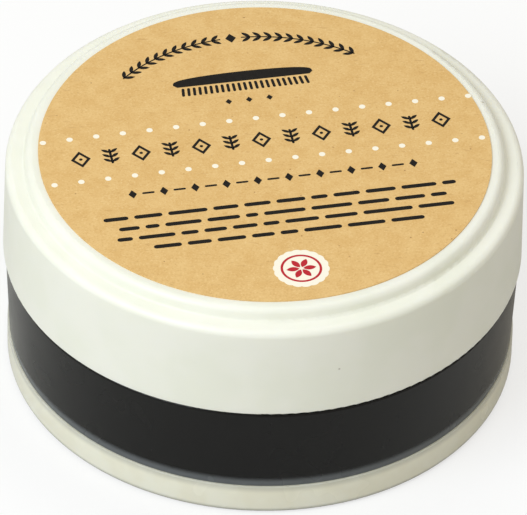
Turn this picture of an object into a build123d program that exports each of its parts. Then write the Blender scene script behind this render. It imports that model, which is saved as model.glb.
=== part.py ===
"""Screw-top shoe polish jar: a clear-walled jar with its fill, and a lid with its wad and paper label.

Millimetres, +Z up. The origin is the centre of the jar's foot, on the surface it stands on.
"""

from build123d import *
import os

# --- Lid ---------------------------------------------------------------------------------
LID_RADIUS = 35.0        # outside, at the lower rim
LID_WALL = 1.4           # skirt
LID_DRAFT = 0.25         # how far the skirt leans in between rim and ledge
LID_TOP_WALL = 1.4       # ledge and platform
LID_EDGE_ROUND = 1.0     # outer edge of the ledge
LID_RIM_ROUND = 0.2      # lower rim, outside
LID_LEAD_IN = 0.8        # lower rim, inside, where the neck enters
LEDGE_WIDTH = 2.45       # flat step that a stacked jar's foot ring stands on
PLATFORM_HEIGHT = 1.75   # raised round field above the ledge
PLATFORM_LEAN = 0.3      # draft of the platform's short wall
PLATFORM_ROUND = 1.0     # top edge of the platform
PLATFORM_LAND = 1.7      # underside of the ledge that presses the wad onto the neck
INNER_ROUND = 0.4        # small inside corners of both mouldings

# --- Wad, held in the lid by snap beads -----------------------------------------------------
WAD_THICKNESS = 1.0
WAD_CLEARANCE = 0.3      # to the skirt's inside
BEAD_COUNT = 6
BEAD_ARC = 26.0          # degrees covered by each bead
BEAD_HEIGHT = 0.9
BEAD_GAP = 0.12          # below the wad
BEAD_CATCH = 0.45        # how far a bead reaches in under the wad's edge

# --- Paper label ----------------------------------------------------------------------------
LABEL_MARGIN = 1.62      # bare border of the platform around the label
LABEL_THICKNESS = 0.15

# --- Jar ------------------------------------------------------------------------------------
BODY_STEP = 0.3          # the jar's wall stands in from the lid's rim
BODY_DRAFT = 0.6         # narrowing of the wall from shoulder to foot
BODY_HEIGHT = 17.9       # foot to shoulder
SHOULDER_ROUND = 0.4
RIM_GAP = 0.3            # between the shoulder and the closed lid
FOOT_HEIGHT = 4.65       # flange round the base
FOOT_FLANGE = 0.25       # how far the flange stands out
FOOT_FLANGE_ROUND = 0.12
FOOT_ROUND = 0.8         # lower outer edge of the foot
THREAD_ROOM = 1.4        # between the neck and the inside of the skirt
NECK_HEIGHT = 11.95      # shoulder to sealing lip
NECK_WALL = 1.7
LIP_ROUND = 0.45         # both edges of the sealing lip
NECK_ROOT_ROUND = 0.5
BORE_DRAFT = 0.7         # narrowing of the bore down to the floor
BORE_ROUND = 1.1         # inside corner round the floor
FLOOR_THICKNESS = 1.85
STACK_CLEARANCE = 0.3    # foot ring round the platform of a jar below
STACK_HEADROOM = 0.9     # recess above the label of a jar below
RECESS_ROUND = 0.6
GATE_RADIUS = 2.2        # moulding gate's dimple under the floor
GATE_DEPTH = 0.4

# --- Fill -----------------------------------------------------------------------------------
FILL_DEPTH = 19.7
FILL_CLEARANCE = 0.05    # to the bore, so that the two solids don't share a skin

# --- Heights that follow --------------------------------------------------------------------
SHOULDER_Z = BODY_HEIGHT
RIM_Z = SHOULDER_Z + RIM_GAP
LIP_Z = SHOULDER_Z + NECK_HEIGHT
WAD_TOP_Z = LIP_Z + WAD_THICKNESS
LEDGE_Z = WAD_TOP_Z + LID_TOP_WALL
PLATFORM_Z = LEDGE_Z + PLATFORM_HEIGHT
RECESS_Z = PLATFORM_HEIGHT + LABEL_THICKNESS + STACK_HEADROOM
FLOOR_Z = RECESS_Z + FLOOR_THICKNESS

# --- Radii that follow ----------------------------------------------------------------------
LID_TOP_RADIUS = LID_RADIUS - LID_DRAFT
SKIRT_BORE_RADIUS = LID_RADIUS - LID_WALL
SKIRT_TOP_BORE_RADIUS = LID_TOP_RADIUS - LID_WALL
PLATFORM_BASE_RADIUS = LID_TOP_RADIUS - LEDGE_WIDTH
PLATFORM_TOP_RADIUS = PLATFORM_BASE_RADIUS - PLATFORM_LEAN
LABEL_RADIUS = PLATFORM_TOP_RADIUS - LABEL_MARGIN
WAD_RADIUS = SKIRT_TOP_BORE_RADIUS - WAD_CLEARANCE
BODY_TOP_RADIUS = LID_RADIUS - BODY_STEP
BODY_BASE_RADIUS = BODY_TOP_RADIUS - BODY_DRAFT
FOOT_RADIUS = BODY_BASE_RADIUS + FOOT_FLANGE
NECK_RADIUS = SKIRT_BORE_RADIUS - THREAD_ROOM
BORE_RADIUS = NECK_RADIUS - NECK_WALL
FLOOR_RADIUS = BORE_RADIUS - BORE_DRAFT
RECESS_RADIUS = PLATFORM_BASE_RADIUS + STACK_CLEARANCE
HOLLOW_RADIUS = PLATFORM_BASE_RADIUS - PLATFORM_LAND


def turned(corners, arc=360.0):
    """A solid turned about Z from a closed section of (radius, height, corner rounding)."""
    points = [(radius, height) for radius, height, _ in corners]
    rounds = [rounding for _, _, rounding in corners]
    with BuildPart() as part:
        with BuildSketch(Plane.XZ):
            with BuildLine():
                FilletPolyline(points, radius=rounds, close=True)
            make_face()
        revolve(axis=Axis.Z, revolution_arc=arc)
    return part.part


def bore_radius_at(height):
    """Radius of the jar's tapered bore at a height above the ground."""
    share = (height - FLOOR_Z) / (LIP_Z - FLOOR_Z)
    return FLOOR_RADIUS + share * BORE_DRAFT


def jar_body():
    """Straight-bored jar: recessed foot with a flange, thick wall, shoulder, and neck."""
    jar = turned([
        (0, RECESS_Z, 0),
        (RECESS_RADIUS, RECESS_Z, RECESS_ROUND),
        (RECESS_RADIUS, 0, 0),
        (FOOT_RADIUS, 0, FOOT_ROUND),
        (FOOT_RADIUS, FOOT_HEIGHT, FOOT_FLANGE_ROUND),
        (BODY_BASE_RADIUS, FOOT_HEIGHT, 0),
        (BODY_TOP_RADIUS, SHOULDER_Z, SHOULDER_ROUND),
        (NECK_RADIUS, SHOULDER_Z, NECK_ROOT_ROUND),
        (NECK_RADIUS, LIP_Z, LIP_ROUND),
        (BORE_RADIUS, LIP_Z, LIP_ROUND),
        (FLOOR_RADIUS, FLOOR_Z, BORE_ROUND),
        (0, FLOOR_Z, 0),
    ])
    gate = Pos(0, 0, RECESS_Z) * Cone(
        GATE_RADIUS, GATE_RADIUS / 2, GATE_DEPTH, align=(Align.CENTER, Align.CENTER, Align.MIN)
    )
    return jar - gate


def shoe_cream():
    """Fill of the jar, level on top, with the bore's taper and floor corner."""
    bottom = FLOOR_Z + FILL_CLEARANCE
    top = FLOOR_Z + FILL_DEPTH
    return turned([
        (0, bottom, 0),
        (bore_radius_at(bottom) - FILL_CLEARANCE, bottom, BORE_ROUND),
        (bore_radius_at(top) - FILL_CLEARANCE, top, 0),
        (0, top, 0),
    ])


def snap_beads():
    """Short ridges inside the skirt that the wad is pressed in past."""
    top = LIP_Z - BEAD_GAP
    bead = turned([
        (SKIRT_BORE_RADIUS, top, 0),
        (WAD_RADIUS - BEAD_CATCH, top - BEAD_HEIGHT / 3, 0),
        (SKIRT_BORE_RADIUS, top - BEAD_HEIGHT, 0),
    ], arc=BEAD_ARC)
    return [Rot(0, 0, i * 360.0 / BEAD_COUNT) * bead for i in range(BEAD_COUNT)]


def lid_shell():
    """Moulded lid: drafted skirt, ledge, raised platform hollow underneath, and snap beads."""
    lid = turned([
        (SKIRT_BORE_RADIUS + LID_LEAD_IN / 2, RIM_Z, 0),
        (LID_RADIUS, RIM_Z, LID_RIM_ROUND),
        (LID_TOP_RADIUS, LEDGE_Z, LID_EDGE_ROUND),
        (PLATFORM_BASE_RADIUS, LEDGE_Z, INNER_ROUND),
        (PLATFORM_TOP_RADIUS, PLATFORM_Z, PLATFORM_ROUND),
        (0, PLATFORM_Z, 0),
        (0, PLATFORM_Z - LID_TOP_WALL, 0),
        (HOLLOW_RADIUS, PLATFORM_Z - LID_TOP_WALL, INNER_ROUND),
        (HOLLOW_RADIUS, WAD_TOP_Z, 0),
        (SKIRT_TOP_BORE_RADIUS, WAD_TOP_Z, 0),
        (SKIRT_BORE_RADIUS, RIM_Z + LID_LEAD_IN, 0),
    ])
    return lid + snap_beads()


def lid_wad():
    """Foam sealing disc between the ledge's underside and the jar's lip."""
    return turned([
        (0, LIP_Z, 0),
        (WAD_RADIUS, LIP_Z, 0),
        (WAD_RADIUS, WAD_TOP_Z, 0),
        (0, WAD_TOP_Z, 0),
    ])


def top_label():
    """Round paper label on the platform."""
    return turned([
        (0, PLATFORM_Z, 0),
        (LABEL_RADIUS, PLATFORM_Z, 0),
        (LABEL_RADIUS, PLATFORM_Z + LABEL_THICKNESS, 0),
        (0, PLATFORM_Z + LABEL_THICKNESS, 0),
    ])


PARTS = {
    "jar_body": jar_body,
    "shoe_cream": shoe_cream,
    "lid_wad": lid_wad,
    "lid_shell": lid_shell,
    "top_label": top_label,
}

os.makedirs("parts", exist_ok=True)
for name, make in PARTS.items():
    export_step(make(), f"parts/{name}.step")
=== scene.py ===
"""Looks of a screw-top shoe polish jar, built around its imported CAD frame.

Blender works in metres, +Z up. The front of the label's print faces -Y.
"""

import math
import random

import bmesh
import bpy
from mathutils import Matrix, Vector


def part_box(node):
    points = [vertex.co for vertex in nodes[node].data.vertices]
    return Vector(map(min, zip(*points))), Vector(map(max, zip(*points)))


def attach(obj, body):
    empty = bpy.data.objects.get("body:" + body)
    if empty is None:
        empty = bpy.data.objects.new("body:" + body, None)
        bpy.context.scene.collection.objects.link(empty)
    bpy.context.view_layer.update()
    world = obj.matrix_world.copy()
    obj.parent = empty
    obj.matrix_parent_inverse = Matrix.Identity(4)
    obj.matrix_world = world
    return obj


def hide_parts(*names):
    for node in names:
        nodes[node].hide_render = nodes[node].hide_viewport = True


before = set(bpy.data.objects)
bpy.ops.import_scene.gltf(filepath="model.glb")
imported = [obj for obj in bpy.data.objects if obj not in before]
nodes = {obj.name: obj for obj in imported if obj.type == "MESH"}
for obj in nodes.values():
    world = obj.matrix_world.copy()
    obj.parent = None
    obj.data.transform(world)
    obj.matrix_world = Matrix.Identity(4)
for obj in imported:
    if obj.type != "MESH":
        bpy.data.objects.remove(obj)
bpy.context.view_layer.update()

MM = 0.001

# --- Places taken from the frame ------------------------------------------------------------
label_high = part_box("top_label")[1]
fill_low, fill_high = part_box("shoe_cream")
lid_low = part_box("lid_shell")[0]
jar_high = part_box("jar_body")[1]
SHOULDER = lid_low.z - 0.35 * MM     # just under the jar's shoulder, below the closed lid's rim


def radii_between(node, low, high):
    """Smallest and largest radius of a CAD node's points between two heights."""
    found = [
        math.hypot(v.co.x, v.co.y) for v in nodes[node].data.vertices if low < v.co.z < high
    ]
    return min(found), max(found)


# =============================================================================================
# Mesh helpers
# =============================================================================================
ON_AXIS = 1e-9     # a smaller radius than this is a point on the axis


def finish_mesh(name, bm, material, body, sharp=35.0):
    """Turn a bmesh into a shaded object that rides on a CAD body."""
    bmesh.ops.recalc_face_normals(bm, faces=bm.faces)
    mesh = bpy.data.meshes.new(name)
    bm.to_mesh(mesh)
    bm.free()
    mesh.polygons.foreach_set("use_smooth", [True] * len(mesh.polygons))
    mesh.set_sharp_from_angle(angle=math.radians(sharp))
    mesh.materials.append(material)
    obj = bpy.data.objects.new(name, mesh)
    bpy.context.scene.collection.objects.link(obj)
    if body:
        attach(obj, body)
    return obj


def add_turned(bm, profile, height_at=None, steps=192):
    """Add a closed shape turned about Z; its profile of (radius, height) runs axis to axis."""
    rings = []
    for radius, height in profile:
        if radius < ON_AXIS:
            rings.append([bm.verts.new((0, 0, height))])
            continue
        ring = []
        for k in range(steps):
            turn = 2 * math.pi * k / steps
            x, y = radius * math.cos(turn), radius * math.sin(turn)
            z = height_at(x, y, height) if height_at else height
            ring.append(bm.verts.new((x, y, z)))
        rings.append(ring)
    for a, b in zip(rings, rings[1:]):
        for k in range(steps):
            n = (k + 1) % steps
            if len(a) == 1:
                bm.faces.new((a[0], b[k], b[n]))
            elif len(b) == 1:
                bm.faces.new((a[k], a[n], b[0]))
            else:
                bm.faces.new((a[k], a[n], b[n], b[k]))


# =============================================================================================
# Material helpers
# =============================================================================================
MIX_FACTOR, MIX_A, MIX_B, MIX_COLOUR = 0, 6, 7, 2     # colour sockets of a Mix node


class Shader:
    """A material with a Principled shader, and short calls for the nodes that feed it.

    A constant stays on its socket under a link too, as the plain value for a viewer without nodes.
    """

    def __init__(self, name, **constants):
        self.material = bpy.data.materials.new(name)
        self.material.use_nodes = True
        self.tree = self.material.node_tree
        self.tree.nodes.clear()
        self.output = self.tree.nodes.new("ShaderNodeOutputMaterial")
        self.bsdf = self.tree.nodes.new("ShaderNodeBsdfPrincipled")
        self.tree.links.new(self.bsdf.outputs[0], self.output.inputs["Surface"])
        for socket, value in constants.items():
            self.bsdf.inputs[socket.replace("_", " ")].default_value = value
        self.place = self.tree.nodes.new("ShaderNodeTexCoord").outputs["Object"]

    def set(self, socket, value):
        """Link a node output to a Principled input."""
        self.tree.links.new(value, self.bsdf.inputs[socket])

    def add(self, kind, inputs=None, **settings):
        """Make a node, set it up and link or fill its inputs."""
        node = self.tree.nodes.new(kind)
        for key, value in settings.items():
            setattr(node, key, value)
        for key, value in (inputs or {}).items():
            if isinstance(value, bpy.types.NodeSocket):
                self.tree.links.new(value, node.inputs[key])
            else:
                node.inputs[key].default_value = value
        return node

    def stretched(self, scale, turn):
        """The object's coordinates, scaled by axis and turned about Z."""
        rotation = (0, 0, math.radians(turn))
        return self.add(
            "ShaderNodeMapping", {"Vector": self.place, "Scale": scale, "Rotation": rotation}
        ).outputs[0]

    def noise(self, size, detail=3.0, roughness=0.55):
        """Noise from 0 to 1 with features of about a size in metres."""
        return self.add("ShaderNodeTexNoise", {
            "Vector": self.place, "Scale": 1.0 / size, "Detail": detail, "Roughness": roughness,
        }).outputs[0]

    def spots(self, spacing):
        """Distance to the nearest of scattered points, in spacings."""
        return self.add(
            "ShaderNodeTexVoronoi", {"Vector": self.place, "Scale": 1.0 / spacing}
        ).outputs["Distance"]

    def ramp(self, value, low, high, to_low=0.0, to_high=1.0):
        """Map a range of a value to another range, clamped and smooth."""
        ends = {"From Min": low, "From Max": high, "To Min": to_low, "To Max": to_high}
        return self.add(
            "ShaderNodeMapRange", {"Value": value, **ends}, interpolation_type="SMOOTHSTEP"
        ).outputs[0]

    def math(self, operation, a, b):
        """One arithmetic step."""
        return self.add("ShaderNodeMath", {0: a, 1: b}, operation=operation).outputs[0]

    def mix(self, factor, a, b):
        """Mix two colours by a factor."""
        return self.add(
            "ShaderNodeMix", {MIX_FACTOR: factor, MIX_A: a, MIX_B: b}, data_type="RGBA"
        ).outputs[MIX_COLOUR]

    def bump(self, height, depth, strength):
        """Surface relief from a height of 0 to 1, with its depth in metres."""
        relief = {"Height": height, "Distance": depth, "Strength": strength}
        self.set("Normal", self.add("ShaderNodeBump", relief).outputs[0])


def colour(red, green, blue):
    """A colour given as it looks on a screen, from 0 to 255, in linear light."""
    def linear(value):
        value /= 255.0
        return value / 12.92 if value <= 0.04045 else ((value + 0.055) / 1.055) ** 2.4
    return (linear(red), linear(green), linear(blue), 1.0)


# =============================================================================================
# Materials
# =============================================================================================
def white_plastic():
    """Satin white polypropylene with a faint flow mottle and a few specks of dust."""
    s = Shader("white_plastic", Roughness=0.42, Subsurface_Weight=0.25, Subsurface_Scale=0.0015)
    s.bsdf.inputs["Subsurface Radius"].default_value = (1.0, 0.95, 0.8)
    mottle = s.noise(9 * MM, 2.0)
    base = s.mix(s.ramp(mottle, 0.35, 0.65), colour(241, 242, 228), colour(245, 245, 233))
    specks = s.ramp(s.spots(5.5 * MM), 0.035, 0.05, 1.0, 0.0)
    sparse = s.ramp(s.noise(14 * MM, 1.0), 0.52, 0.60)
    base = s.mix(s.math("MULTIPLY", specks, sparse), base, colour(196, 190, 176))
    s.set("Base Color", base)
    grain = s.noise(0.35 * MM, 2.0)
    s.set("Roughness", s.ramp(s.noise(3 * MM, 3.0), 0.3, 0.7, 0.38, 0.46))
    s.bump(grain, 0.006 * MM, 0.5)
    return s.material


def clear_plastic():
    """Natural polypropylene: dark where the fill wets it from behind, milky where it is free.

    The dark tone is in the colour, by place, and doesn't come through the wall from the fill. The
    grey light that leaks up from the foot and the shade on the foot's edges are painted into the
    colour too.
    """
    s = Shader("clear_plastic", IOR=1.45, Roughness=0.25, Specular_IOR_Level=0.38,
               Subsurface_Weight=0.6, Subsurface_Scale=0.002)
    s.bsdf.inputs["Subsurface Radius"].default_value = (1.0, 0.95, 0.85)
    axes = s.add("ShaderNodeSeparateXYZ", {0: s.place})
    height = axes.outputs["Z"]
    span = s.add("ShaderNodeVectorMath", {0: s.place, 1: (1.0, 1.0, 0.0)}, operation="MULTIPLY")
    reach = s.add("ShaderNodeVectorMath", {0: span.outputs[0]}, operation="LENGTH").outputs["Value"]
    bottom, top, side = fill_low.z, fill_high.z, fill_high.x

    # How far a point has the fill behind it: beside it, or under it
    above_foot = s.ramp(height, bottom - 0.05 * MM, bottom + 0.03 * MM)
    below_top = s.ramp(height, top - 0.1 * MM, top + 0.5 * MM, 1.0, 0.0)
    beside = s.math("MULTIPLY", above_foot, below_top)
    under = s.math("MULTIPLY", s.ramp(reach, side - 0.5 * MM, side + 0.3 * MM, 1.0, 0.0),
                   s.ramp(height, bottom - 0.4 * MM, bottom, 1.0, 0.0))
    backed = s.math("MAXIMUM", beside, under)

    # Painted light and shade: a grey glow of light leaking up from the pale foot into the dark
    # wall, painted into the colour, and painted shade on the foot's top under the fill and along
    # its bottom edge
    # painted light: grey glow leaking up from the foot into the dark wall
    painted_leak_light = s.ramp(height, bottom + 0.55 * MM, bottom + 1.6 * MM, 1.0, 0.0)
    painted_leak_colour = s.mix(painted_leak_light, colour(6, 6, 7), colour(98, 102, 105))
    cloud = s.ramp(s.noise(4 * MM, 2.0), 0.35, 0.65)
    pale = s.mix(cloud, colour(238, 235, 216), colour(242, 240, 223))
    # painted shade at the top of the foot, just under the fill
    painted_step_shade = s.ramp(height, bottom - 1.3 * MM, bottom, 0.0, 0.4)
    # painted contact shadow: darker along the foot's bottom edge
    edge = s.ramp(height, 0.0, 1.1 * MM, 0.9, 0.0)
    pale = s.mix(s.math("MAXIMUM", painted_step_shade, edge), pale, colour(126, 129, 124))
    s.set("Base Color", s.mix(backed, pale, painted_leak_colour))

    # Free plastic over the shoulder and round the neck lets light through
    free = s.math("MULTIPLY", s.ramp(height, SHOULDER, SHOULDER + 0.1 * MM),
                  s.math("SUBTRACT", 1.0, backed))
    s.set("Transmission Weight", s.math("MULTIPLY", free, 0.5))
    s.set("Roughness", s.ramp(s.noise(6 * MM, 2.0), 0.3, 0.7, 0.23, 0.28))
    s.bump(s.noise(3 * MM, 1.0), 0.003 * MM, 0.2)
    return s.material


def black_cream(name, gloss):
    """Black wax cream, with a gloss where it meets air and none where it wets the wall."""
    s = Shader(name, Roughness=0.35, Specular_IOR_Level=gloss)
    s.set("Base Color", s.mix(s.noise(3 * MM), colour(14, 14, 16), colour(22, 22, 25)))
    s.set("Roughness", s.ramp(s.noise(1.5 * MM), 0.3, 0.7, 0.28, 0.45))
    s.bump(s.noise(1.2 * MM, 4.0), 0.05 * MM, 0.5)
    return s.material


def white_foam():
    """Closed-cell foam sheet."""
    s = Shader("white_foam", Roughness=0.75)
    cells = s.spots(0.35 * MM)
    s.set("Base Color", s.mix(cells, colour(232, 232, 228), colour(246, 246, 243)))
    s.set("Roughness", s.ramp(cells, 0.0, 0.8, 0.65, 0.85))
    s.bump(cells, 0.03 * MM, 0.7)
    return s.material


FIBRES = ((20, 1.0), (95, 1.3), (150, 1.15))     # degrees that each set lies at, and its fineness
FIBRE_ALONG, FIBRE_ACROSS = 520, 2600            # noise features per metre


def kraft_colour(s):
    """Mottled brown paper with a fine grain, short fibres and darker specks, for a shader."""
    pulp = s.ramp(s.noise(2.2 * MM, 3.0, 0.65), 0.3, 0.7)
    base = s.mix(pulp, colour(222, 181, 114), colour(230, 192, 127))
    grain = s.noise(0.30 * MM, 3.0, 0.7)
    base = s.mix(s.ramp(grain, 0.52, 0.72, 0.0, 0.55), base, colour(200, 156, 92))
    base = s.mix(s.ramp(grain, 0.46, 0.30, 0.0, 0.5), base, colour(244, 212, 154))
    for turn, fine in FIBRES:
        place = s.stretched((FIBRE_ALONG * fine, FIBRE_ACROSS * fine, 1.0), turn)
        lines = s.add("ShaderNodeTexNoise", {
            "Vector": place, "Scale": 1.0, "Detail": 1.0, "Distortion": 0.6,
        })
        dark = s.ramp(lines.outputs[0], 0.68, 0.78, 0.0, 0.35)
        base = s.mix(dark, base, colour(186, 142, 84))
    specks = s.ramp(s.spots(1.6 * MM), 0.05, 0.10, 0.7, 0.0)
    some = s.ramp(s.noise(3 * MM, 1.0), 0.52, 0.62)
    return s.mix(s.math("MULTIPLY", specks, some), base, colour(150, 106, 62))


def kraft_paper():
    """Uncoated kraft paper."""
    s = Shader("kraft_paper", Roughness=0.85)
    s.set("Base Color", kraft_colour(s))
    grain = s.noise(0.3 * MM, 3.0)
    s.set("Roughness", s.ramp(grain, 0.3, 0.7, 0.78, 0.92))
    s.bump(grain, 0.012 * MM, 0.6)
    return s.material


def ink(name, tone, worn):
    """Printing ink that lets a little of the paper's grain through."""
    s = Shader(name, Roughness=0.6, Specular_IOR_Level=0.25)
    grain = s.ramp(s.noise(0.28 * MM, 3.0), 0.60, 0.78, 0.0, 0.3)
    s.set("Base Color", s.mix(grain, tone, worn))
    s.set("Roughness", s.ramp(s.noise(0.6 * MM), 0.3, 0.7, 0.5, 0.7))
    s.bump(s.noise(0.3 * MM, 3.0), 0.006 * MM, 0.5)
    return s.material


WHITE_PLASTIC = white_plastic()
CLEAR_PLASTIC = clear_plastic()
BLACK_CREAM = black_cream("black_cream", 0.5)
WET_CREAM = black_cream("black_cream_at_wall", 0.0)
WHITE_FOAM = white_foam()
KRAFT_PAPER = kraft_paper()
BLACK_INK = ink("black_ink", colour(17, 13, 10), colour(64, 48, 32))
WHITE_INK = ink("white_ink", colour(252, 246, 228), colour(244, 226, 190))
RED_INK = ink("red_ink", colour(190, 34, 48), colour(206, 84, 78))

for node, material in (
    ("lid_shell", WHITE_PLASTIC),
    ("jar_body", CLEAR_PLASTIC),
    ("shoe_cream", BLACK_CREAM),
    ("lid_wad", WHITE_FOAM),
    ("top_label", KRAFT_PAPER),
):
    nodes[node].data.materials.clear()
    nodes[node].data.materials.append(material)


# =============================================================================================
# Fill
# =============================================================================================
HAIR = 0.01 * MM             # slack for telling a level from the next
CREAM_WET = 0.08 * MM        # how far the cream reaches past its solid, into the wall
CREAM_CORNER = 1.1 * MM      # round between floor and wall
CORNER_STEPS, WALL_STEPS, TOP_RINGS = 8, 8, 60
MENISCUS = 1.6 * MM          # width of the edge that climbs the wall
SWIRL_DEPTH = 0.55 * MM
SWIRL_PITCH = 8.5 * MM
SWIRL_HEART = 4.0 * MM       # the swirl fades out inside this radius
SWIRL_MARGIN = 3.0 * MM      # and over this much at the rim


def build_cream():
    """The fill as it set in the jar: wetting the wall, with a soft spiral on top."""
    depth = fill_high.z - fill_low.z
    floor_radius = radii_between("shoe_cream", fill_low.z - MM, fill_low.z + HAIR)[1]
    foot_radius = floor_radius + CREAM_CORNER
    slope = (fill_high.x - foot_radius) / depth
    profile = [(0, fill_low.z)]
    for k in range(CORNER_STEPS + 1):
        turn = math.pi / 2 * k / CORNER_STEPS
        profile.append((
            floor_radius + (CREAM_CORNER + CREAM_WET) * math.sin(turn),
            fill_low.z + CREAM_CORNER - (CREAM_CORNER + CREAM_WET) * math.cos(turn),
        ))
    for k in range(1, WALL_STEPS + 1):
        rise = CREAM_CORNER + (depth - CREAM_CORNER) * k / WALL_STEPS
        profile.append((foot_radius + CREAM_WET + slope * rise, fill_low.z + rise))
    rim = profile[-1][0]
    for k in range(1, TOP_RINGS + 1):
        profile.append((rim * (1 - k / TOP_RINGS), fill_high.z))

    def swirl(x, y, z):
        """The top's height at a place; lower points keep theirs."""
        if z < fill_high.z - HAIR:
            return z
        reach, turn = math.hypot(x, y), math.atan2(y, x)
        edge = max(0.0, 1 - (rim - reach) / MENISCUS) ** 2
        wave = 0.5 + 0.5 * math.cos(2 * math.pi * reach / SWIRL_PITCH - turn)
        fade = min(1.0, reach / SWIRL_HEART) * min(1.0, (rim - reach) / SWIRL_MARGIN)
        return fill_high.z - SWIRL_DEPTH * (1 - edge) - SWIRL_DEPTH * wave * fade

    bm = bmesh.new()
    add_turned(bm, profile, swirl)
    cream = finish_mesh("cream_fill", bm, WET_CREAM, "jar")
    cream.data.materials.append(BLACK_CREAM)
    for face in cream.data.polygons:
        face.material_index = int(face.normal.z > 0.5)
    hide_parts("shoe_cream")


# =============================================================================================
# Screw thread
# =============================================================================================
THREAD_LEAD = 8.0 * MM       # rise per turn, as the lid's joints are coupled
THREAD_STARTS = 2
RIDGE_BASE = 0.80 * MM       # half height of a ridge at its root
RIDGE_CREST = 0.34 * MM      # half height at its crest
RIDGE_SETBACK = 1.15 * MM    # lid's ridges below the jar's, when screwed home
RUN_OUT = 14.0               # degrees over which a ridge dies away
RIDGE_STEP = 3.0             # degrees between a ridge's sections
RIDGE_START = 20             # degrees, where the first ridge starts
RIDGE_LOW = 2.2 * MM         # lowest ridge above the lid's rim
RIDGE_ROOTED = 0.05 * MM     # how deep a ridge is set into its wall
NECK_RIDGE = 0.75 * MM       # how far the jar's ridges stand out
NECK_RIDGE_HIGH = 9.0 * MM   # their upper end above the lid's rim
LID_RIDGE = 1.0 * MM         # how far the lid's ridges reach in
LID_RIDGE_RISE = 5.6 * MM    # from their lower end to their upper


def add_ridge(bm, root, crest, low, high, start_turn):
    """Add one helical ridge between two heights, fading out at both ends."""
    total = 360.0 * (high - low) / THREAD_LEAD
    steps = int(total / RIDGE_STEP)
    last = None
    for k in range(steps + 1):
        turn = total * k / steps
        full = min(1.0, turn / RUN_OUT, (total - turn) / RUN_OUT)
        full = 0.02 + 0.98 * full * full * (3 - 2 * full)
        z = low + THREAD_LEAD * turn / 360.0
        tip = root + (crest - root) * full
        angle = math.radians(start_turn + turn)
        section = []
        for radius, rise in (
            (root, -RIDGE_BASE),
            (root + (tip - root) * 0.85, -RIDGE_CREST * 1.25),
            (tip, -RIDGE_CREST * 0.8),
            (tip, RIDGE_CREST * 0.8),
            (root + (tip - root) * 0.85, RIDGE_CREST * 1.25),
            (root, RIDGE_BASE),
        ):
            section.append(bm.verts.new(
                (radius * math.cos(angle), radius * math.sin(angle), z + rise)
            ))
        if last:
            for i, vert in enumerate(section):
                j = (i + 1) % len(section)
                bm.faces.new((last[i], last[j], section[j], vert))
        else:
            bm.faces.new(section)
        last = section
    bm.faces.new(last)


def build_threads():
    """Two-start right-hand thread: ridges round the jar's neck, and inside the lid's skirt."""
    neck = radii_between("jar_body", jar_high.z - 8 * MM, jar_high.z - 0.3 * MM)[1]
    skirt = radii_between("lid_shell", lid_low.z, lid_low.z + 2 * MM)[0]
    low = lid_low.z + RIDGE_LOW
    starts = [360.0 * k / THREAD_STARTS + RIDGE_START for k in range(THREAD_STARTS)]
    bm = bmesh.new()
    for start in starts:
        add_ridge(bm, neck - RIDGE_ROOTED, neck + NECK_RIDGE,
                  low, lid_low.z + NECK_RIDGE_HIGH, start)
    finish_mesh("neck_thread", bm, CLEAR_PLASTIC, "jar", sharp=50)
    setback = 360.0 * RIDGE_SETBACK / THREAD_LEAD
    bm = bmesh.new()
    for start in starts:
        add_ridge(bm, skirt + RIDGE_ROOTED, skirt - LID_RIDGE,
                  low, low + LID_RIDGE_RISE, start + setback)
    finish_mesh("lid_thread", bm, WHITE_PLASTIC, "lid", sharp=50)


# =============================================================================================
# Print on the label
# =============================================================================================
PRINT_TURN = math.radians(12.3)   # the label is stuck on turned by this much
INK_BELOW = 0.01 * MM             # how deep the ink is set into the label
INK_ABOVE = 0.012 * MM            # and how far it stands over it; sizes below are in millimetres


class Print:
    """Flat shapes of one ink, in millimetres across and up the label."""

    def __init__(self, above=INK_ABOVE):
        self.bm = bmesh.new()
        self.low = label_high.z - INK_BELOW
        self.high = label_high.z + above

    def _points(self, outline, z):
        """The outline's points on the label, at one height."""
        turned = []
        for u, v in outline:
            x = (u * math.cos(PRINT_TURN) - v * math.sin(PRINT_TURN)) * MM
            y = (u * math.sin(PRINT_TURN) + v * math.cos(PRINT_TURN)) * MM
            turned.append(self.bm.verts.new((x, y, z)))
        return turned

    def fill(self, outline):
        """A closed flat shape."""
        bottom, top = self._points(outline, self.low), self._points(outline, self.high)
        self.bm.faces.new(bottom)
        self.bm.faces.new(top)
        for i in range(len(outline)):
            j = (i + 1) % len(outline)
            self.bm.faces.new((bottom[i], bottom[j], top[j], top[i]))

    def band(self, one, other, closed=False):
        """A strip between two lines with as many points each."""
        a0, a1 = self._points(one, self.low), self._points(one, self.high)
        b0, b1 = self._points(other, self.low), self._points(other, self.high)
        count = len(one)
        for i in range(count if closed else count - 1):
            j = (i + 1) % count
            self.bm.faces.new((a1[i], a1[j], b1[j], b1[i]))
            self.bm.faces.new((a0[i], a0[j], b0[j], b0[i]))
            self.bm.faces.new((a0[i], a0[j], a1[j], a1[i]))
            self.bm.faces.new((b0[i], b0[j], b1[j], b1[i]))
        if not closed:
            for i in (0, count - 1):
                self.bm.faces.new((a0[i], a1[i], b1[i], b0[i]))


def placed(outline, at=(0.0, 0.0), turn=0.0):
    """An outline turned by degrees, then moved."""
    c, s = math.cos(math.radians(turn)), math.sin(math.radians(turn))
    return [(at[0] + u * c - v * s, at[1] + u * s + v * c) for u, v in outline]


def disc(radius, points=20):
    """A round outline."""
    return [
        (radius * math.cos(2 * math.pi * k / points), radius * math.sin(2 * math.pi * k / points))
        for k in range(points)
    ]


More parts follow.
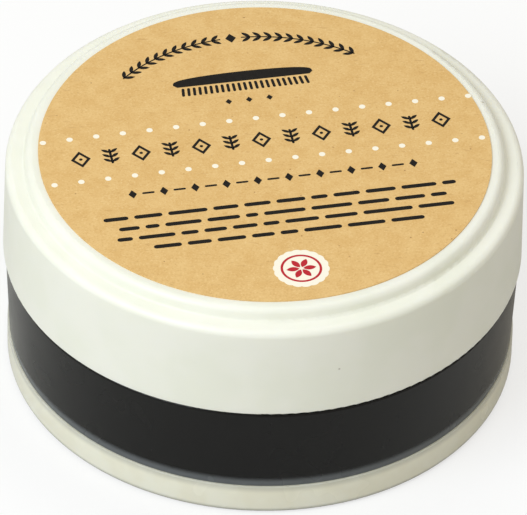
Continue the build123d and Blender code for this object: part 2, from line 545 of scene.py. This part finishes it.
def bar(width, height, points=5):
    """A bar with round ends."""
    r = height / 2
    right = [
        (width / 2 - r + r * math.cos(a), r * math.sin(a))
        for a in [math.pi * (k / (points - 1) - 0.5) for k in range(points)]
    ]
    return right + [(-u, -v) for u, v in right]


def leaf(length, width, points=7):
    """A pointed leaf that starts at the origin and lies along u."""
    side = [
        (length * k / points, width / 2 * math.sin(math.pi * k / points) ** 0.8)
        for k in range(1, points)
    ]
    return [(0, 0)] + [(u, -v) for u, v in side] + [(length, 0)] + side[::-1]


def lozenge(width, height):
    """An upright diamond."""
    return [(width / 2, 0), (0, height / 2), (-width / 2, 0), (0, -height / 2)]


DOT_ROWS = (6.73, -2.10)
DOT_COUNT = 17
DOT_PITCH = 3.64
DOT_RADIUS = 0.43
DOT_SHIFT = 0.13       # the rows sit a little to the right
DOT_BOW = 0.27         # and rise this much in their middle
BAR_ROWS = ((23.9, -10.35), (22.2, -12.5), (22.8, -14.55), (18.3, -16.7))   # half length, height
BAR_GAP = 0.75
BAR_HEIGHT = 0.72
BAR_SHORT, BAR_LONG = 1.5, 5.6     # before the row is scaled to its length
BAR_ROOM = 4.3                     # row length for each bar
BAR_SEED = 11


def print_dot_rows(white):
    """The two dotted lines across the label."""
    half = DOT_PITCH * (DOT_COUNT - 1) / 2
    for row in DOT_ROWS:
        for k in range(DOT_COUNT):
            share = 2 * k / (DOT_COUNT - 1) - 1
            at = (share * half + DOT_SHIFT, row + DOT_BOW * (1 - share * share))
            white.fill(placed(disc(DOT_RADIUS), at))


def print_band(black):
    """Between the dotted rows: outlined lozenges and small sprigs in turn."""
    middle, pitch, count = 2.5, 4.1, 13
    outer, inner, dot = lozenge(2.7, 3.3), lozenge(1.7, 2.1), disc(0.24, 12)
    stem, sprig, rises = bar(3.0, 0.34), leaf(1.35, 0.5), (-1.15, -0.2, 0.75)
    for k in range(count):
        u = (k - (count - 1) / 2) * pitch
        if k % 2 == 0:
            black.band(placed(outer, (u, middle)), placed(inner, (u, middle)), closed=True)
            black.fill(placed(dot, (u, middle)))
            continue
        black.fill(placed(stem, (u, middle), 90))
        for rise in rises:
            for lean in (35, 145):
                black.fill(placed(sprig, (u, middle + rise), lean))


def print_arc(black):
    """Along the top edge: a laurel line that grows from both ends to the middle."""
    radius, spread, clear, leaves = 24.1, 38.0, 3.4, 11     # spread and clear in degrees
    stem_half, stem_steps, sprig, lean_out = 0.11, 24, leaf(1.55, 0.55), 38

    def on_arc(reach, degrees):
        return reach * math.cos(math.radians(degrees)), reach * math.sin(math.radians(degrees))

    for side in (-1, 1):
        line = [90 + side * (spread * k / stem_steps + clear) for k in range(stem_steps + 1)]
        black.band(
            [on_arc(radius - stem_half, degrees) for degrees in line],
            [on_arc(radius + stem_half, degrees) for degrees in line],
        )
        for k in range(leaves):
            angle = 90 + side * (clear + spread * (k + 0.9) / leaves)
            for lean in (-lean_out, lean_out):
                black.fill(placed(sprig, on_arc(radius, angle), angle - side * (90 + lean)))
    black.fill(placed(lozenge(1.5, 1.9), (0, radius)))


def print_brush(black):
    """A plain shoe brush, seen from the side."""
    middle, half, side, crown, steps = 15.0, 9.6, 0.5, 1.5, 24
    back = [(half, side)]
    for k in range(1, steps):
        turn = math.pi * k / steps
        back.append((half * math.cos(turn), side + crown * math.sin(turn) ** 0.6))
    back += [(-half, side), (-half + side, 0.0), (half - side, 0.0)]
    black.fill(placed(back, (0, middle)))
    tuft, tufts, drop, margin, fan = bar(1.7, 0.4), 23, 1.15, 1.1, 7
    for k in range(tufts):
        share = 2 * k / (tufts - 1) - 1
        black.fill(placed(tuft, (share * (half - margin), middle - drop), 90 + fan * share))


def print_small_marks(black):
    """Three little lozenges under the brush."""
    height, mark = 11.0, lozenge(0.9, 1.1)
    for u in (-2.8, 0.0, 2.8):
        black.fill(placed(mark, (u, height)))


def print_rule(black):
    """Under the lower dots: lozenges and dashes in turn."""
    count, pitch, height = 19, 2.12, -5.7
    marks = (lozenge(1.15, 1.7), bar(1.7, 0.36))
    for k in range(count):
        black.fill(placed(marks[k % 2], ((k - (count - 1) / 2) * pitch, height)))


def print_text_bars(black):
    """Four rows of plain bars, as long as words."""
    draw = random.Random(BAR_SEED)
    for half, height in BAR_ROWS:
        words = [draw.uniform(BAR_SHORT, BAR_LONG) for _ in range(int(half * 2 / BAR_ROOM))]
        scale = (2 * half - BAR_GAP * (len(words) - 1)) / sum(words)
        start = -half
        for word in words:
            length = word * scale
            black.fill(placed(bar(length, BAR_HEIGHT), (start + length / 2, height)))
            start += length + BAR_GAP


def print_seal(white, red):
    """A round spot with a scalloped edge, a ring and a rosette."""
    at, radius, scallops, scallop, petals = (0.07, -24.2), 3.6, 18, 0.16, 6
    points = scallops * 6
    edge = []
    for k in range(points):
        turn = 2 * math.pi * k / points
        reach = radius + scallop * abs(math.sin(scallops * turn / 2))
        edge.append((reach * math.cos(turn), reach * math.sin(turn)))
    white.fill(placed(edge, at))
    red.band(placed(disc(2.75, 48), at), placed(disc(2.42, 48), at), closed=True)
    petal = placed(leaf(1.75, 0.85), (0.25, 0))
    for k in range(petals):
        red.fill(placed(petal, at, 360 * k / petals))


def build_print():
    """All the print, one piece for each ink."""
    black, white, red = Print(), Print(), Print(INK_ABOVE * 2)
    print_dot_rows(white)
    print_band(black)
    print_arc(black)
    print_brush(black)
    print_small_marks(black)
    print_rule(black)
    print_text_bars(black)
    print_seal(white, red)
    finish_mesh("print_black", black.bm, BLACK_INK, "lid")
    finish_mesh("print_white", white.bm, WHITE_INK, "lid")
    finish_mesh("print_red", red.bm, RED_INK, "lid")


# =============================================================================================
# Stage, light and camera
# =============================================================================================
FLOOR_WHITE = 0.65           # share of plain white in the floor as it is seen
FLOOR_HALF = 6.0             # metres from its middle to its edge
FLOOR_DROP = 0.02 * MM       # the jar's foot stands just clear of it
WORLD_TINT = (1.0, 0.955, 0.87, 1.0)
WORLD_STRENGTH = 0.55
WHITE = (1.0, 1.0, 1.0, 1.0)
LAMP_TARGET = Vector((0, 0, 0.02))
KEY_LAMP = {"at": (-0.414, -0.386, 0.586), "size": 0.45, "power": 4.1, "tint": (0.84, 0.92, 1.0)}
TOP_LAMP = {"at": (0.15, 0.15, 0.90), "size": 0.60, "power": 1.1, "tint": (1.0, 0.98, 0.94)}


def build_floor():
    """A wide plain pale floor, nearly white to the eye, that still shows the jar's shadow."""
    bm = bmesh.new()
    bmesh.ops.create_grid(bm, x_segments=1, y_segments=1, size=FLOOR_HALF)
    bmesh.ops.translate(bm, verts=bm.verts, vec=(0, 0, -FLOOR_DROP))
    s = Shader("pale_floor", Roughness=0.9, Specular_IOR_Level=0.2)
    path = s.add("ShaderNodeLightPath")
    seen = s.math("MAXIMUM", path.outputs["Is Camera Ray"], path.outputs["Is Transmission Ray"])
    s.set("Base Color", s.mix(seen, colour(203, 202, 198), colour(253, 253, 252)))
    glow = s.add("ShaderNodeEmission", {"Color": WHITE, "Strength": 1.0})
    share = s.math("MULTIPLY", seen, FLOOR_WHITE)
    look = s.add("ShaderNodeMixShader", {0: share, 2: glow.outputs[0]})
    s.tree.links.new(s.bsdf.outputs[0], look.inputs[1])
    s.tree.links.new(look.outputs[0], s.output.inputs["Surface"])
    floor = finish_mesh("floor", bm, s.material, None)


def build_world():
    """Even pale surroundings, which the camera sees as white."""
    world = bpy.data.worlds.new("studio")
    world.use_nodes = True
    tree = world.node_tree
    light, seen = tree.nodes["Background"], tree.nodes.new("ShaderNodeBackground")
    light.inputs["Color"].default_value = WORLD_TINT
    light.inputs["Strength"].default_value = WORLD_STRENGTH
    seen.inputs["Color"].default_value = WHITE
    path, pick = tree.nodes.new("ShaderNodeLightPath"), tree.nodes.new("ShaderNodeMixShader")
    tree.links.new(path.outputs["Is Camera Ray"], pick.inputs[0])
    tree.links.new(light.outputs[0], pick.inputs[1])
    tree.links.new(seen.outputs[0], pick.inputs[2])
    tree.links.new(pick.outputs[0], tree.nodes["World Output"].inputs["Surface"])
    bpy.context.scene.world = world


def build_lamp(name, at, size, power, tint):
    """A soft square lamp aimed at the jar."""
    data = bpy.data.lights.new(name, "AREA")
    data.shape = "SQUARE"
    data.size, data.energy, data.color = size, power, tint
    lamp = bpy.data.objects.new(name, data)
    lamp.location = at
    lamp.rotation_euler = (LAMP_TARGET - Vector(at)).to_track_quat("-Z", "Y").to_euler()
    lamp.visible_camera = False
    bpy.context.scene.collection.objects.link(lamp)


CAMERA_DISTANCE = 1.207
CAMERA_ELEVATION = math.radians(41.1)
CAMERA_ROLL = math.radians(1.67)
CAMERA_CENTRE = Vector((0, 0, 0.01085))
CAMERA_AIM = Vector((0.0002, 0.0022, 0.01345))
CAMERA_LENS = 608.5          # millimetres, on the sensor below
CAMERA_SENSOR = 36.0
CAMERA_CLIP = (0.05, 50.0)


def build_camera():
    """A long lens from the front, above the jar, turned a little on its own axis."""
    data = bpy.data.cameras.new("camera")
    data.lens, data.sensor_width = CAMERA_LENS, CAMERA_SENSOR
    data.clip_start, data.clip_end = CAMERA_CLIP
    camera = bpy.data.objects.new("camera", data)
    back = Vector((0, -math.cos(CAMERA_ELEVATION), math.sin(CAMERA_ELEVATION)))
    camera.location = CAMERA_CENTRE + back * CAMERA_DISTANCE
    aim = (CAMERA_AIM - camera.location).to_track_quat("-Z", "Y")
    camera.rotation_mode = "QUATERNION"
    camera.rotation_quaternion = aim @ Matrix.Rotation(CAMERA_ROLL, 3, "Z").to_quaternion()
    bpy.context.scene.collection.objects.link(camera)
    bpy.context.scene.camera = camera


build_camera()
build_cream()
build_threads()
build_print()
build_floor()
build_world()
build_lamp("key_lamp", **KEY_LAMP)
build_lamp("top_lamp", **TOP_LAMP)
bpy.context.scene.view_settings.view_transform = "Standard"
